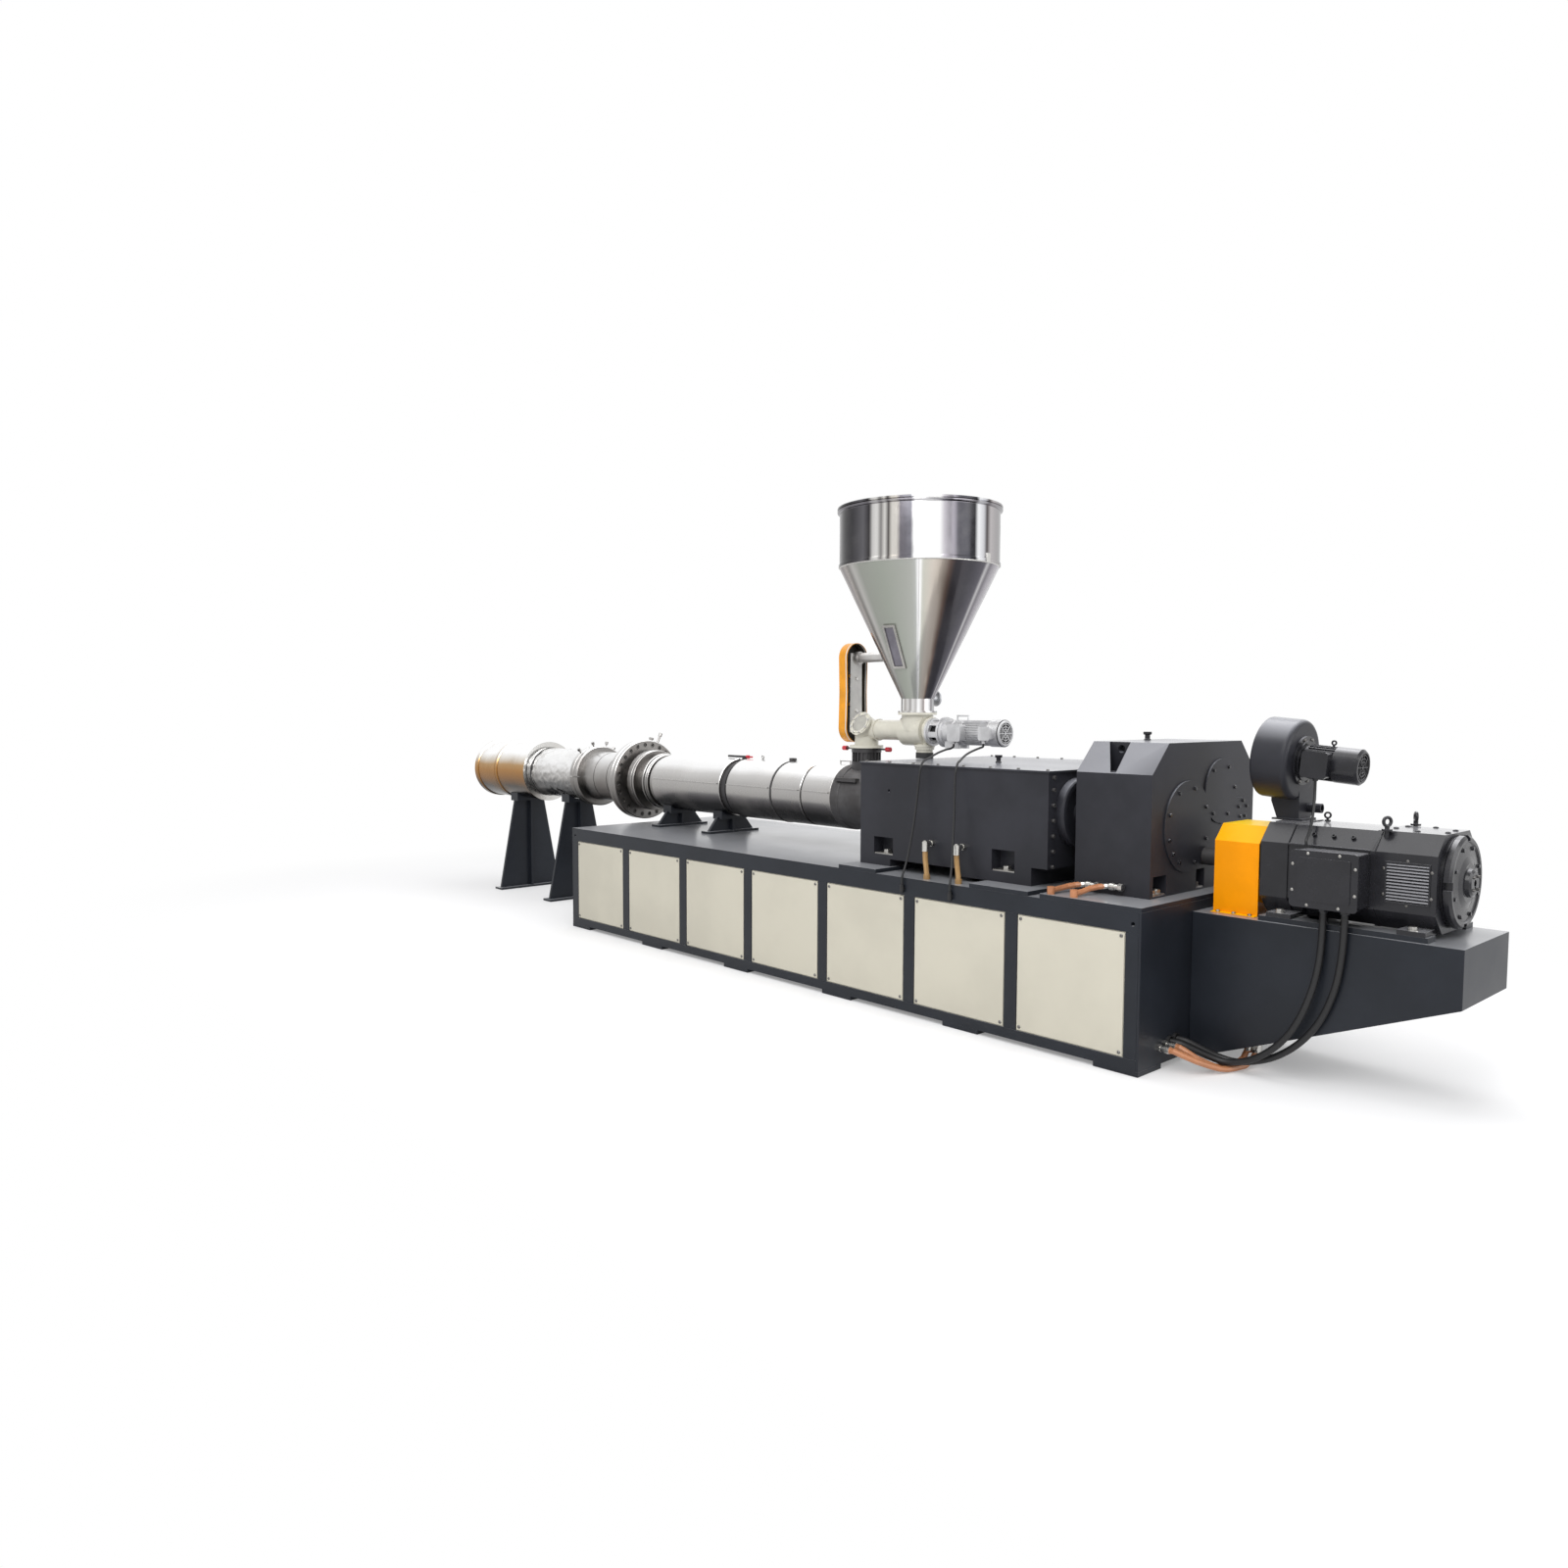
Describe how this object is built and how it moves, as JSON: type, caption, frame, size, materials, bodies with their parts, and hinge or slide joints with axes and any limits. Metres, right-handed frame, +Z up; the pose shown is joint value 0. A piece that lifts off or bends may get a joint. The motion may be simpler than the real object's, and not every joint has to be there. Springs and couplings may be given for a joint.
{
  "type": "twin-screw plastic extruder",
  "caption": "Large plastic extruder on a panelled steel base: flange motor, gearboxes, stainless hopper with screw feeder, clad barrel and long pipe head.",
  "frame": {"origin": "on the floor, in the middle of the machine's length and width", "axes": "+X along the machine towards the drive motor, the pipe leaves towards -X; -Y is the operator's side; +Z up"},
  "size_m": [8.34, 1.494, 2.84],
  "materials": {
    "frame_paint": "satin enamel",
    "box_paint": "satin enamel on castings",
    "cream_paint": "fine textured powder coat",
    "guard_paint": "gloss safety yellow",
    "feeder_paint": "gloss enamel on castings",
    "motor_paint": "gloss black enamel",
    "gearmotor_alloy": "silver painted alloy",
    "bright_stainless": "polished stainless sheet",
    "head_steel": "turned steel",
    "dark_steel": "heat darkened steel",
    "sight_glass": "clear",
    "hose_copper": "copper coloured hose with plated ends",
    "cable_jacket": "matt black jacket"
  },
  "bodies": {
    "root": {"base_rails": "frame_paint", "base_posts": "frame_paint", "base_cross_members": "frame_paint", "base_end_plates": "frame_paint", "base_deck": "frame_paint", "base_feet": "frame_paint", "front_panels": "cream_paint", "rear_panels": "cream_paint", "motor_base": "box_paint", "motor_frame": "motor_paint", "motor_end_cover": "motor_paint", "motor_terminal_box": "motor_paint", "motor_lifting_eyes": "motor_paint", "coupling_guard": "guard_paint", "shaft_couplings": "dark_steel", "fan_housing": "box_paint", "fan_motor": "motor_paint", "gearbox_housing": "box_paint", "bearing_covers": "box_paint", "box_breathers": "motor_paint", "distribution_box": "box_paint", "distribution_cover": "box_paint", "feed_section": "dark_steel", "barrel": "head_steel", "heater_covers": "bright_stainless", "cover_bands": "dark_steel", "vacuum_vent": "dark_steel", "barrel_supports": "frame_paint", "barrel_adapter": "head_steel", "head_flange": "head_steel", "head_body": "head_steel", "head_clamp_ring": "head_steel", "head_wraps": "head_steel", "die_barrel": "head_steel", "die_core": "head_steel", "head_stand": "frame_paint", "throat_block": "dark_steel", "feeder_tube": "feeder_paint", "feeder_sight_port": "feeder_paint", "feeder_leg": "feeder_paint", "feeder_gearmotor": "gearmotor_alloy", "chain_guard": "guard_paint", "agitator_tube": "head_steel", "hopper_shell": "bright_stainless", "hopper_cone": "bright_stainless", "hopper_sight_glass": "sight_glass", "oil_pipes": "hose_copper", "motor_cable_1": "cable_jacket", "motor_cable_2": "cable_jacket", "fan_cable": "cable_jacket", "feeder_cable_1": "cable_jacket", "feeder_cable_2": "cable_jacket", "cable_glands": "head_steel"}
  },
  "joints": []
}
